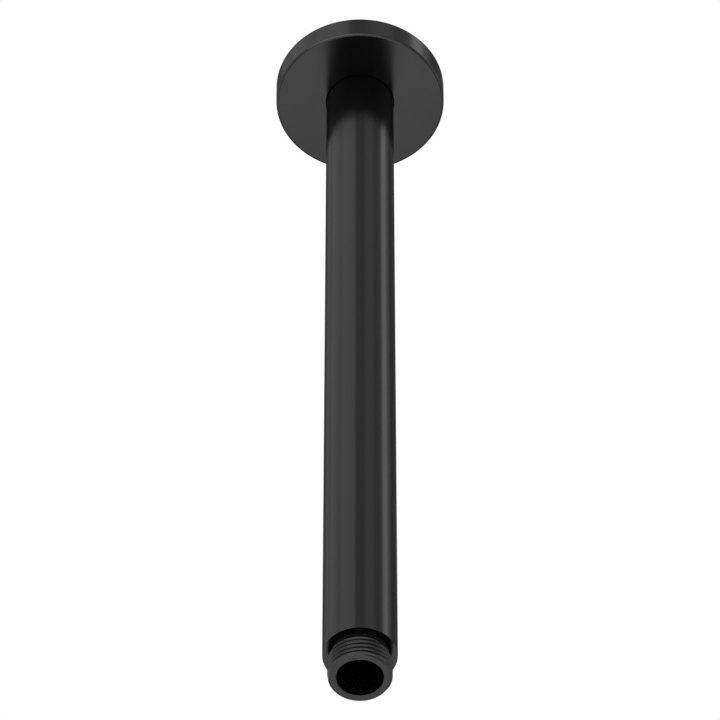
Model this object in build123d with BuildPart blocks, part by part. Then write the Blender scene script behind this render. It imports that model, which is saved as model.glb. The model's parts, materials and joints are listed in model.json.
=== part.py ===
from build123d import *
import os

# Ceiling shower arm: a straight tube with a threaded nipple brazed into each end, and a round cover flange
# that slides on the tube and is gripped by a rubber ring in its hub.
# Millimetres. The tube's axis is Z, the ceiling is the plane Z = 0, and the arm hangs down from it.

# Tube
tube_diameter = 24.0
tube_wall = 1.5
tube_shown = 300.0
tube_setback = 1.0

# Nipples, with a G1/2 thread drawn as its plain outside diameter
thread_diameter = 20.7
thread_lead_in = 0.75
relief_width = 2.6
relief_depth = 1.15
spigot_length = 12.0
spigot_lead_in = 0.5
braze_gap = 0.05
waterway_diameter = 15.0
waterway_edge_break = 0.2
inlet_reach = 15.0
outlet_reach = 10.6

# Cover flange
flange_diameter = 60.0
flange_height = 9.5
flange_bevel = 0.6
flange_edge_break = 0.2
flange_rim = 2.5
flange_web = 3.0
recess_corner = 0.8
hub_setback = 1.0
hub_wall = 1.8
hub_lead_in = 0.5
sliding_clearance = 0.1

# Rubber grip ring of square section, and its groove in the hub
ring_section = 2.4
ring_edge = 0.3
ring_clearance = 0.05
groove_play = 0.2
groove_lip = 2.0

# Places and radii worked out from the sizes above
tube_radius = tube_diameter / 2
tube_bore_radius = tube_radius - tube_wall
tube_top = -tube_setback
tube_bottom = -(flange_height + tube_shown)
spigot_radius = tube_bore_radius - braze_gap
thread_radius = thread_diameter / 2
relief_radius = thread_radius - relief_depth
waterway_radius = waterway_diameter / 2
flange_radius = flange_diameter / 2
flange_bore_radius = tube_radius + sliding_clearance
recess_radius = flange_radius - flange_rim
recess_floor = flange_web - flange_height
ring_middle_radius = tube_radius + ring_clearance + ring_section / 2
groove_radius = ring_middle_radius + ring_section / 2 + ring_clearance
groove_width = ring_section + 2 * groove_play
groove_middle = groove_lip + groove_width / 2 - flange_height
hub_radius = groove_radius + hub_wall

# Section planes with their local X along the radius and their local Y pointing out of the tube's two ends
inlet_section = Plane(origin=(0, 0, tube_top), x_dir=(1, 0, 0), z_dir=(0, -1, 0))
outlet_section = Plane(origin=(0, 0, tube_bottom), x_dir=(1, 0, 0), z_dir=(0, 1, 0))


def turned_nipple(section, reach):
    """A nipple turned from bar: a spigot inside the tube, a relief at the tube's end, and the thread."""
    with BuildPart() as nipple:
        with BuildSketch(section) as half_section:
            with BuildLine():
                Polyline(
                    (waterway_radius, -spigot_length),
                    (spigot_radius, -spigot_length),
                    (spigot_radius, 0),
                    (relief_radius, 0),
                    (relief_radius, relief_width),
                    (thread_radius, relief_width),
                    (thread_radius, reach),
                    (waterway_radius, reach),
                    close=True,
                )
            make_face()
            ends = half_section.vertices().group_by(Axis.Y)
            spigot_end = ends[0].sort_by(Axis.X)
            thread_end = ends[-1].sort_by(Axis.X)
            chamfer(spigot_end[-1], spigot_lead_in)
            chamfer(thread_end[-1], thread_lead_in)
            chamfer(thread_end[0], waterway_edge_break)
        revolve(axis=Axis.Z)
    return nipple.part


# Drawn tube, with both ends cut square
with BuildPart() as arm_tube:
    with BuildSketch(Plane.XY.offset(tube_bottom)):
        Circle(tube_radius)
        Circle(tube_bore_radius, mode=Mode.SUBTRACT)
    extrude(amount=tube_top - tube_bottom)

inlet_nipple = turned_nipple(inlet_section, inlet_reach - tube_top)
outlet_nipple = turned_nipple(outlet_section, outlet_reach)

# Cover flange: a disc with a deep recess in its back, round a hub that slides on the tube
with BuildPart() as ceiling_flange:
    with BuildSketch(Plane.XY.offset(-flange_height)):
        Circle(flange_radius)
    extrude(amount=flange_height)
    lower_rim = ceiling_flange.edges().sort_by(Axis.Z)[0]
    back_rim = ceiling_flange.edges().sort_by(Axis.Z)[-1]
    chamfer(lower_rim, flange_bevel)
    chamfer(back_rim, flange_edge_break)
    with BuildSketch(Plane.XY.offset(recess_floor)):
        Circle(recess_radius)
        Circle(hub_radius, mode=Mode.SUBTRACT)
    extrude(amount=-recess_floor, mode=Mode.SUBTRACT)
    recess_corners = ceiling_flange.faces().filter_by(Plane.XY).group_by(Axis.Z)[1].edges()
    chamfer(recess_corners, recess_corner)
    with BuildSketch(Plane.XY):
        Circle(hub_radius)
    extrude(amount=-hub_setback, mode=Mode.SUBTRACT)
    with BuildSketch(Plane.XY.offset(-flange_height)):
        Circle(flange_bore_radius)
    extrude(amount=flange_height, mode=Mode.SUBTRACT)
    bore_wall = ceiling_flange.faces(Select.LAST).filter_by(GeomType.CYLINDER)
    bore_edges = bore_wall.edges().filter_by(GeomType.CIRCLE).sort_by(Axis.Z)
    chamfer(bore_edges[0], flange_edge_break)
    chamfer(bore_edges[-1], hub_lead_in)
    with BuildSketch(Plane.XY.offset(groove_middle)):
        Circle(groove_radius)
    extrude(amount=groove_width / 2, both=True, mode=Mode.SUBTRACT)

# Rubber grip ring, cut square with its edges broken, which lies in the hub's groove round the tube
with BuildPart() as flange_grip_ring:
    with BuildSketch(Plane.XZ) as ring_sketch:
        with Locations((ring_middle_radius, groove_middle)):
            Rectangle(ring_section, ring_section)
        chamfer(ring_sketch.vertices(), ring_edge)
    revolve(axis=Axis.Z)

nodes = {
    "arm_tube": arm_tube.part,
    "inlet_nipple": inlet_nipple,
    "outlet_nipple": outlet_nipple,
    "ceiling_flange": ceiling_flange.part,
    "flange_grip_ring": flange_grip_ring.part,
}
os.makedirs("parts", exist_ok=True)
for name, piece in nodes.items():
    piece.label = name
    export_step(piece, f"parts/{name}.step")
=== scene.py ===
"""The looks of a ceiling shower arm: a satin black tube, threaded nipples and a sliding cover flange."""

import json
import math

import bmesh
import bpy
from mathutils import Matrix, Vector


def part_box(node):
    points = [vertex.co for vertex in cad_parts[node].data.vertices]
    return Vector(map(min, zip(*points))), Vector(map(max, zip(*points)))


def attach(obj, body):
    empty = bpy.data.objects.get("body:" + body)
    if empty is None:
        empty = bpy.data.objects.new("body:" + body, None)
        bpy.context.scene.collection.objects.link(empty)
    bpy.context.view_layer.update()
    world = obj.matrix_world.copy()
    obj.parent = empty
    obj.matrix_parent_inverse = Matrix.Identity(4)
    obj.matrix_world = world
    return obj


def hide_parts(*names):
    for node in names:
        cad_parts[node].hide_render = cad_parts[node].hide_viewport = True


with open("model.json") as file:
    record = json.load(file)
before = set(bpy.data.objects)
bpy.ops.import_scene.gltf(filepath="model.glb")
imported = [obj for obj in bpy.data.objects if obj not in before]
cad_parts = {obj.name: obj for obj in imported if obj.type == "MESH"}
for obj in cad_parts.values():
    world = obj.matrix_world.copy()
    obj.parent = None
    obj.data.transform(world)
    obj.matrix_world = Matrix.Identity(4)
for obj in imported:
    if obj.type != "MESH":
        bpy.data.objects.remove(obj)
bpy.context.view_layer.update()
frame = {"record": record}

MM = 0.001

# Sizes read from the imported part
tube_low, tube_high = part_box("arm_tube")
flange_low, flange_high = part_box("ceiling_flange")
ring_low, ring_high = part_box("flange_grip_ring")
inlet_low, inlet_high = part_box("inlet_nipple")
outlet_low, outlet_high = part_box("outlet_nipple")
mounts = {mount["name"]: mount for mount in frame["record"]["mounts"]}
tube_radius = tube_high.x
spigot_radius = outlet_high.x
thread_radius = mounts["outlet_thread"]["dims"]["r_mm"] * MM
waterway_radius = mounts["waterway"]["dims"]["r_mm"] * MM
flange_radius = flange_high.x
flange_face = flange_low.z
ring_radius = ring_high.x

# Sizes of the turned edges and recesses, as on the part. Only the flange's lower edge differs: it is rounded
# here, and on the part it has a bevel of nearly the same outline
thread_lead_in = 0.75 * MM
relief_width = 2.6 * MM
relief_depth = 1.15 * MM
spigot_lead_in = 0.5 * MM
waterway_edge_break = 0.2 * MM
flange_rounding = 0.8 * MM
flange_edge_break = 0.2 * MM
flange_rim = 2.5 * MM
flange_web = 3.0 * MM
recess_corner = 0.8 * MM
hub_setback = 1.0 * MM
hub_wall = 1.8 * MM
hub_lead_in = 0.5 * MM
sliding_clearance = 0.1 * MM
groove_clearance = 0.05 * MM
groove_play = 0.2 * MM
ring_edge = 0.3 * MM

# G1/2 pipe thread, right-handed: 55 degrees between its flanks, with crests and roots whose rounding turns by
# thread_bend on either side of its middle
thread_pitch = 1.814 * MM
thread_depth = 1.162 * MM
thread_rounding = 0.249 * MM
thread_bend = math.radians(62.5)
crest_trim = 0.02 * MM

# The thread's cutter stands out of the nipple by its rise, its turns lie twice the gap apart, and it starts
# in the relief
cutter_rise = 0.1 * MM
cutter_gap = 0.03 * MM
cutter_start = 1.0 * MM

# The last whole groove's distance from the nipple's end at the front, and how the cut gets shallower from it
last_groove = 1.73 * MM
run_out_start = math.radians(120)
run_out_end = math.radians(480)
run_out_lift = 0.06

# How finely the pieces are turned, and how sharp their corners are left. The thread's steps lie half a step
# round from the nipple's, so that their corners don't meet
turning_steps = 192
front_angle = math.radians(-90) + math.pi / turning_steps
thread_arc_steps = 5
edge_arc_steps = 24
coated_corner = 0.06 * MM
corner_steps = 2
smooth_angle = math.radians(50)
upright_limit = 0.5
merge_distance = 0.0005 * MM


def start_edit(name):
    """A new object at the origin, in edit mode, with one vertex left of its first plane."""
    bpy.ops.object.select_all(action="DESELECT")
    bpy.ops.mesh.primitive_plane_add(size=MM, enter_editmode=True)
    piece = bpy.context.object
    piece.name = name
    bpy.ops.mesh.select_mode(type="VERT")
    bpy.ops.mesh.merge(type="CENTER")
    return piece


def draw_outline(name, outline, angle=0):
    """A closed wire outline in an upright plane through the Z axis, drawn by extruding one vertex."""
    piece = start_edit(name)
    here = Vector((0, 0, 0))
    for step, (radius, height) in enumerate(outline + outline[:1]):
        there = Vector((radius * math.cos(angle), radius * math.sin(angle), height))
        move = {"value": there - here}
        if step:
            bpy.ops.mesh.extrude_vertices_move(TRANSFORM_OT_translate=move)
        else:
            bpy.ops.transform.translate(**move)
        here = there
    bpy.ops.mesh.select_all(action="SELECT")
    bpy.ops.mesh.remove_doubles(threshold=merge_distance)
    return piece


def turned(name, outline, corner, square=()):
    """A piece turned on the Z axis from a closed half section, with all but its square corners rounded."""
    piece = draw_outline(name, outline)
    mesh = bmesh.from_edit_mesh(piece.data)
    for radius, height in square:
        nearest = min(mesh.verts, key=lambda vertex: (vertex.co - Vector((radius, 0, height))).length)
        nearest.select_set(False)
    bmesh.update_edit_mesh(piece.data)
    bpy.ops.mesh.bevel(offset=corner, segments=corner_steps, affect="VERTICES", clamp_overlap=True)
    bpy.ops.mesh.select_all(action="SELECT")
    bpy.ops.mesh.spin(steps=turning_steps, angle=math.tau, center=(0, 0, 0), axis=(0, 0, 1))
    bpy.ops.mesh.select_all(action="SELECT")
    bpy.ops.mesh.remove_doubles(threshold=merge_distance)
    bpy.ops.mesh.normals_make_consistent(inside=False)
    bpy.ops.object.mode_set(mode="OBJECT")
    return piece


def arc(radius, height, rounding, start, stop, steps):
    """Points round a corner, from one angle to another. Angle 0 points away from the axis."""
    angles = [start + (stop - start) * step / steps for step in range(steps + 1)]
    return [(radius + rounding * math.cos(a), height + rounding * math.sin(a)) for a in angles]


def groove_section():
    """The section of the space between two turns of the thread, about its own middle height."""
    crest_radius = thread_radius + crest_trim - thread_rounding
    root_radius = thread_radius + crest_trim - thread_depth + thread_rounding
    crest_angle = math.acos((thread_radius - crest_radius) / thread_rounding)
    half_pitch = thread_pitch / 2
    cutter_radius = thread_radius + cutter_rise
    lower_crest = arc(crest_radius, -half_pitch, thread_rounding, crest_angle, thread_bend, thread_arc_steps)
    root = arc(
        root_radius, 0, thread_rounding, math.pi + thread_bend, math.pi - thread_bend, thread_arc_steps
    )
    upper_crest = arc(crest_radius, half_pitch, thread_rounding, -thread_bend, -crest_angle, thread_arc_steps)
    top = [(cutter_radius, half_pitch - cutter_gap), (cutter_radius, cutter_gap - half_pitch)]
    return lower_crest + root + upper_crest + top


def select_step(piece, step, points):
    """Selects one step of a swept section, in edit mode."""
    bpy.ops.mesh.select_all(action="DESELECT")
    mesh = bmesh.from_edit_mesh(piece.data)
    mesh.verts.ensure_lookup_table()
    for vertex in mesh.verts[step * points:(step + 1) * points]:
        vertex.select = True
    mesh.select_flush_mode()
    bmesh.update_edit_mesh(piece.data)


def thread_cutter(low, high, angle, faded_end):
    """The helical space between the thread's turns, swept upwards. Towards one end it gets shallower."""
    section = [(radius, low + height) for radius, height in groove_section()]
    cutter = draw_outline("thread_cutter", section, angle)
    bpy.ops.object.mode_set(mode="OBJECT")
    steps = round((high - low) / thread_pitch * turning_steps)
    screw = cutter.modifiers.new("screw", "SCREW")
    screw.axis = "Z"
    screw.angle = math.tau * steps / turning_steps
    screw.screw_offset = high - low
    screw.steps = screw.render_steps = steps
    screw.iterations = 1
    bpy.ops.object.modifier_apply(modifier="screw")
    bpy.ops.object.mode_set(mode="EDIT")
    fading = round(turning_steps * (run_out_end - run_out_start) / math.tau)
    for count in range(1, fading + 1):
        step = fading - count if faded_end == "low" else steps - fading + count
        select_step(cutter, step, len(section))
        lift = 1 + run_out_lift * count / fading
        bpy.ops.transform.resize(value=(lift, lift, 1), center_override=(0, 0, 0))
    bpy.ops.mesh.select_all(action="SELECT")
    bpy.ops.mesh.fill_holes(sides=0)
    bpy.ops.mesh.select_all(action="SELECT")
    bpy.ops.mesh.normals_make_consistent(inside=False)
    bpy.ops.mesh.faces_shade_smooth()
    bpy.ops.object.mode_set(mode="OBJECT")
    return cutter


def threaded_nipple(name, tube_end, spigot_end, thread_end, way):
    """A nipple turned from bar. Its thread is cut from the relief on, and runs out through the lead-in."""
    relief_radius = thread_radius - relief_depth
    relief_end = tube_end + way * relief_width
    outline = [
        (waterway_radius, spigot_end),
        (spigot_radius - spigot_lead_in, spigot_end),
        (spigot_radius, spigot_end + way * spigot_lead_in),
        (spigot_radius, tube_end),
        (relief_radius, tube_end),
        (relief_radius, relief_end),
        (thread_radius, relief_end),
        (thread_radius, thread_end - way * thread_lead_in),
        (thread_radius - thread_lead_in, thread_end),
        (waterway_radius + waterway_edge_break, thread_end),
        (waterway_radius, thread_end - way * waterway_edge_break),
    ]
    nipple = turned(name, outline, coated_corner, square=[(spigot_radius, tube_end)])
    front_groove = thread_end - way * last_groove
    cut_steps = round(abs(front_groove - tube_end - way * cutter_start) / thread_pitch * turning_steps)
    run_in = front_groove - way * thread_pitch * cut_steps / turning_steps
    run_out = front_groove + way * thread_pitch * run_out_end / math.tau
    low, high = sorted((run_in, run_out))
    angle = front_angle + math.tau * (low - front_groove) / thread_pitch
    cutter = thread_cutter(low, high, angle, "low" if way < 0 else "high")
    bpy.ops.object.select_all(action="DESELECT")
    bpy.context.view_layer.objects.active = nipple
    nipple.select_set(True)
    cut = nipple.modifiers.new("cut", "BOOLEAN")
    cut.operation = "DIFFERENCE"
    cut.solver = "EXACT"
    cut.object = cutter
    bpy.ops.object.modifier_apply(modifier="cut")
    bpy.data.objects.remove(cutter)
    return nipple


def drawn_tube():
    """The tube, with its ends cut square. Braze closes the gap between its bore and the nipples' spigots."""
    outline = [
        (spigot_radius, tube_low.z),
        (tube_radius, tube_low.z),
        (tube_radius, tube_high.z),
        (spigot_radius, tube_high.z),
    ]
    brazed = [(spigot_radius, tube_low.z), (spigot_radius, tube_high.z)]
    return turned("tube", outline, coated_corner, square=brazed)


def cover_flange():
    """The cover: a turned disc with a hollow back, and a hub with the rubber ring's groove."""
    bore_radius = tube_radius + sliding_clearance
    groove_radius = ring_radius + groove_clearance
    hub_radius = groove_radius + hub_wall
    recess_radius = flange_radius - flange_rim
    recess_floor = flange_face + flange_web
    groove_low = ring_low.z - groove_play
    groove_high = ring_high.z + groove_play
    hub_top = flange_high.z - hub_setback
    edge_centre = (flange_radius - flange_rounding, flange_face + flange_rounding)
    lower_edge = arc(*edge_centre, flange_rounding, -math.pi / 2, 0, edge_arc_steps)
    outline = [
        (bore_radius + flange_edge_break, flange_face),
        *lower_edge,
        (flange_radius, flange_high.z - flange_edge_break),
        (flange_radius - flange_edge_break, flange_high.z),
        (recess_radius, flange_high.z),
        (recess_radius, recess_floor + recess_corner),
        (recess_radius - recess_corner, recess_floor),
        (hub_radius + recess_corner, recess_floor),
        (hub_radius, recess_floor + recess_corner),
        (hub_radius, hub_top),
        (bore_radius + hub_lead_in, hub_top),
        (bore_radius, hub_top - hub_lead_in),
        (bore_radius, groove_high),
        (groove_radius, groove_high),
        (groove_radius, groove_low),
        (bore_radius, groove_low),
        (bore_radius, flange_face + flange_edge_break),
    ]
    return turned("cover_flange", outline, coated_corner, square=lower_edge)


def grip_ring():
    """The rubber ring, cut square with its edges broken."""
    section = ring_high.z - ring_low.z
    inner = ring_radius - section
    outline = [
        (inner + ring_edge, ring_low.z),
        (ring_radius - ring_edge, ring_low.z),
        (ring_radius, ring_low.z + ring_edge),
        (ring_radius, ring_high.z - ring_edge),
        (ring_radius - ring_edge, ring_high.z),
        (inner + ring_edge, ring_high.z),
        (inner, ring_high.z - ring_edge),
        (inner, ring_low.z + ring_edge),
    ]
    return turned("grip_ring", outline, coated_corner)


def linear(hex_colour):
    """A colour written as sRGB hex, in linear light."""
    channels = [int(hex_colour[place:place + 2], 16) / 255 for place in (1, 3, 5)]
    return [c / 12.92 if c <= 0.04045 else ((c + 0.055) / 1.055) ** 2.4 for c in channels] + [1]


def add_node(tree, kind, inputs, **settings):
    """Adds a node with its settings. An input that is another node's socket is linked."""
    made = tree.nodes.new(kind)
    for name, value in settings.items():
        setattr(made, name, value)
    for name, value in inputs.items():
        if isinstance(value, bpy.types.NodeSocket):
            tree.links.new(value, made.inputs[name])
        else:
            made.inputs[name].default_value = value
    return made


def new_material(name):
    """An empty node material."""
    material = bpy.data.materials.new(name)
    material.use_nodes = True
    material.node_tree.nodes.clear()
    return material


def satin_black_coating():
    """Satin black enamel, sprayed and baked on brass.

    It has almost no colour of its own, a soft wide gloss that varies a little, and faint orange peel.
    """
    peel_size = 0.9 * MM
    peel_height = 0.004 * MM
    cloud_size = 14 * MM
    material = new_material("satin_black_coating")
    tree = material.node_tree
    place = add_node(tree, "ShaderNodeTexCoord", {}).outputs["Object"]
    peel = add_node(tree, "ShaderNodeTexNoise", {"Vector": place, "Scale": 1 / peel_size, "Detail": 2})
    cloud = add_node(tree, "ShaderNodeTexNoise", {"Vector": place, "Scale": 1 / cloud_size, "Detail": 3})
    bump = add_node(
        tree, "ShaderNodeBump",
        {"Height": peel.outputs["Fac"], "Strength": 0.5, "Distance": peel_height},
    )
    rough = add_node(
        tree, "ShaderNodeMapRange",
        {"Value": cloud.outputs["Fac"], "From Min": 0.3, "From Max": 0.7, "To Min": 0.19, "To Max": 0.21},
    )
    shader = add_node(
        tree, "ShaderNodeBsdfPrincipled",
        {
            "Base Color": linear("#050505"),
            "Roughness": rough.outputs["Result"],
            "IOR": 1.6,
            "Normal": bump.outputs["Normal"],
        },
    )
    add_node(tree, "ShaderNodeOutputMaterial", {"Surface": shader.outputs["BSDF"]})
    return material


def cut_rubber():
    """Black nitrile rubber, cut on a lathe: dull, with fine grain from the knife."""
    grain_size = 0.25 * MM
    grain_height = 0.02 * MM
    material = new_material("cut_rubber")
    tree = material.node_tree
    place = add_node(tree, "ShaderNodeTexCoord", {}).outputs["Object"]
    grain = add_node(tree, "ShaderNodeTexNoise", {"Vector": place, "Scale": 1 / grain_size, "Detail": 3})
    bump = add_node(
        tree, "ShaderNodeBump",
        {"Height": grain.outputs["Fac"], "Strength": 0.6, "Distance": grain_height},
    )
    shader = add_node(
        tree, "ShaderNodeBsdfPrincipled",
        {"Base Color": linear("#161616"), "Roughness": 0.75, "IOR": 1.5, "Normal": bump.outputs["Normal"]},
    )
    add_node(tree, "ShaderNodeOutputMaterial", {"Surface": shader.outputs["BSDF"]})
    return material


def smooth_shading(piece):
    """Smooths the thread and the rounded corners, and keeps the shading of the turned flats and walls true.

    A turned face is told from a corner's by its mean width. The cutter left the thread's faces smooth.
    """
    points = [vertex.co.copy() for vertex in piece.data.vertices]
    turned_faces = []
    for face in piece.data.polygons:
        longest = max((points[a] - points[b]).length for a, b in face.edge_keys)
        if face.area / longest > coated_corner and not face.use_smooth:
            turned_faces.append(face.index)
    bpy.ops.object.shade_smooth_by_angle(angle=smooth_angle)
    bpy.ops.object.mode_set(mode="EDIT")
    bpy.ops.mesh.select_mode(type="FACE")
    for walls in (True, False):
        bpy.ops.mesh.select_all(action="DESELECT")
        mesh = bmesh.from_edit_mesh(piece.data)
        mesh.faces.ensure_lookup_table()
        for index in turned_faces:
            upright = abs(mesh.faces[index].normal.z) < upright_limit
            mesh.faces[index].select_set(upright == walls)
        bmesh.update_edit_mesh(piece.data)
        bpy.ops.mesh.set_normals_from_faces(keep_sharp=True)
    bpy.ops.object.mode_set(mode="OBJECT")


def finish_piece(piece, material, body, node):
    """Gives a piece its shading, finish and place on the part."""
    bpy.ops.object.select_all(action="DESELECT")
    bpy.context.view_layer.objects.active = piece
    piece.select_set(True)
    smooth_shading(piece)
    piece.data.materials.clear()
    piece.data.materials.append(material)
    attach(piece, body)
    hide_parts(node)


coating = satin_black_coating()
rubber = cut_rubber()
finish_piece(drawn_tube(), coating, "arm", "arm_tube")
finish_piece(
    threaded_nipple("outlet_thread", tube_low.z, outlet_high.z, outlet_low.z, -1),
    coating, "arm", "outlet_nipple",
)
finish_piece(
    threaded_nipple("inlet_thread", tube_high.z, inlet_low.z, inlet_high.z, 1),
    coating, "arm", "inlet_nipple",
)
finish_piece(cover_flange(), coating, "cover", "ceiling_flange")
finish_piece(grip_ring(), rubber, "cover", "flange_grip_ring")

# White studio: an even white world and a pale floor far below the camera
floor_height = -3.0
floor_size = 40.0
floor_glow = 0.9


def pale_floor_paint():
    """Matt white paint. Seen directly, in gloss or through glass, it glows nearly as white as the world."""
    paint = new_material("pale_floor")
    tree = paint.node_tree
    ray = add_node(tree, "ShaderNodeLightPath", {}).outputs
    direct_or_gloss = add_node(
        tree, "ShaderNodeMath", {0: ray["Is Camera Ray"], 1: ray["Is Glossy Ray"]}, operation="MAXIMUM"
    )
    seen = add_node(
        tree, "ShaderNodeMath",
        {0: direct_or_gloss.outputs[0], 1: ray["Is Transmission Ray"]}, operation="MAXIMUM",
    )
    share = add_node(tree, "ShaderNodeMath", {0: seen.outputs[0], 1: floor_glow}, operation="MULTIPLY")
    matt = add_node(tree, "ShaderNodeBsdfDiffuse", {"Color": linear("#fcfcfc")})
    white = add_node(tree, "ShaderNodeEmission", {"Color": linear("#ffffff"), "Strength": 1.0})
    both = add_node(
        tree, "ShaderNodeMixShader",
        {0: share.outputs[0], 1: matt.outputs["BSDF"], 2: white.outputs["Emission"]},
    )
    add_node(tree, "ShaderNodeOutputMaterial", {"Surface": both.outputs["Shader"]})
    paint.cycles.emission_sampling = "NONE"
    return paint


world = bpy.data.worlds.new("white_studio")
world.use_nodes = True
world.node_tree.nodes["Background"].inputs["Color"].default_value = linear("#ffffff")
world.node_tree.nodes["Background"].inputs["Strength"].default_value = 1.0
world.cycles.sampling_method = "NONE"
bpy.context.scene.world = world

bpy.ops.object.select_all(action="DESELECT")
bpy.ops.mesh.primitive_plane_add(size=floor_size, location=(0, 0, floor_height))
floor = bpy.context.object
floor.name = "floor"
floor.data.materials.append(pale_floor_paint())

# Soft cards round the arm, which show only in its gloss. Each row gives a card's name, where it starts and
# stops in degrees round from the front towards the right, its lowest and highest edge in degrees up from
# level, and its brightness, where 1 is the white of the world
card_distance = 2.5
card_step = math.radians(5)
arm_middle = Vector((0, 0, (tube_low.z + tube_high.z) / 2))
cards = [
    ("front_card", -15, 15, 25, 70, 0.31),
    ("front_right_card", 15, 45, 25, 70, 0.45),
    ("right_card", 45, 75, 25, 70, 0.27),
    ("right_strip", 75, 95, 25, 70, 0.90),
    ("right_strip_edge", 95, 110, 25, 70, 0.30),
    ("right_low_card", 20, 90, -20, 25, 0.35),
    ("right_back_low_card", 90, 150, -20, 0, 0.60),
    ("back_card", 110, 225, 0, 70, 0.09),
    ("back_low_card", 150, 210, -45, 0, 0.20),
    ("back_floor_card", 165, 195, -50, -45, 0.40),
    ("back_floor_softbox", 165, 195, -65, -50, 1.3),
    ("back_right_floor_card", 120, 165, -65, -45, 0.04),
    ("back_left_floor_card", 195, 240, -65, -45, 0.04),
    ("left_softbox_edge", 225, 255, 0, 70, 0.30),
    ("left_softbox", 255, 300, -20, 70, 0.50),
    ("left_front_card", 300, 345, 25, 70, 0.66),
    ("left_front_softbox", 300, 360, -20, 25, 1.9),
    ("front_softbox_edge", 0, 20, -20, 25, 1.2),
    ("top_card", 0, 360, 70, 90, 0.5),
    ("low_front_softbox", -40, 50, -45, -20, 1.7),
    ("right_floor_card", 60, 150, -45, -20, 0.75),
    ("camera_side_card", -60, 60, -65, -45, 0.04),
    ("camera_right_card", 60, 115, -65, -45, 0.35),
    ("camera_left_card", 245, 300, -65, -45, 0.35),
    ("low_card", 0, 360, -90, -65, 1.3),
]


def light_card(name, start, stop, low, high, level):
    """A curved card cut from a large ball round the arm."""
    bpy.ops.object.select_all(action="DESELECT")
    bpy.ops.mesh.primitive_uv_sphere_add(
        segments=round(math.tau / card_step), ring_count=round(math.pi / card_step), radius=card_distance,
        location=arm_middle, enter_editmode=True,
    )
    card = bpy.context.object
    card.name = name
    bpy.ops.mesh.select_mode(type="FACE")
    bpy.ops.mesh.select_all(action="DESELECT")
    mesh = bmesh.from_edit_mesh(card.data)
    for face in mesh.faces:
        place = face.calc_center_median()
        round_angle = math.degrees(math.atan2(place.x, -place.y))
        up_angle = math.degrees(math.asin(place.z / place.length))
        inside = (round_angle - start) % 360 < stop - start and low < up_angle < high
        face.select_set(not inside)
    bmesh.update_edit_mesh(card.data)
    bpy.ops.mesh.delete(type="FACE")
    bpy.ops.object.mode_set(mode="OBJECT")
    glow = new_material(name)
    lamp = add_node(glow.node_tree, "ShaderNodeEmission", {"Color": linear("#ffffff"), "Strength": level})
    add_node(glow.node_tree, "ShaderNodeOutputMaterial", {"Surface": lamp.outputs["Emission"]})
    glow.cycles.emission_sampling = "NONE"
    card.data.materials.append(glow)
    card.visible_camera = False
    card.visible_diffuse = False
    card.visible_shadow = False


for card in cards:
    light_card(*card)

# Camera: in front of the arm and below it, looking up, with a long lens
camera_lens = 281.27
camera_sensor = 36
camera_near = 0.1
camera_place = (0, -1.1744, -1.6495)
camera_upward = 51.779
camera_data = bpy.data.cameras.new("camera")
camera_data.lens = camera_lens
camera_data.sensor_width = camera_sensor
camera_data.clip_start = camera_near
camera = bpy.data.objects.new("camera", camera_data)
camera.location = camera_place
camera.rotation_euler = (math.radians(90 + camera_upward), 0, 0)
bpy.context.scene.collection.objects.link(camera)
bpy.context.scene.camera = camera
bpy.context.scene.view_settings.view_transform = "Standard"
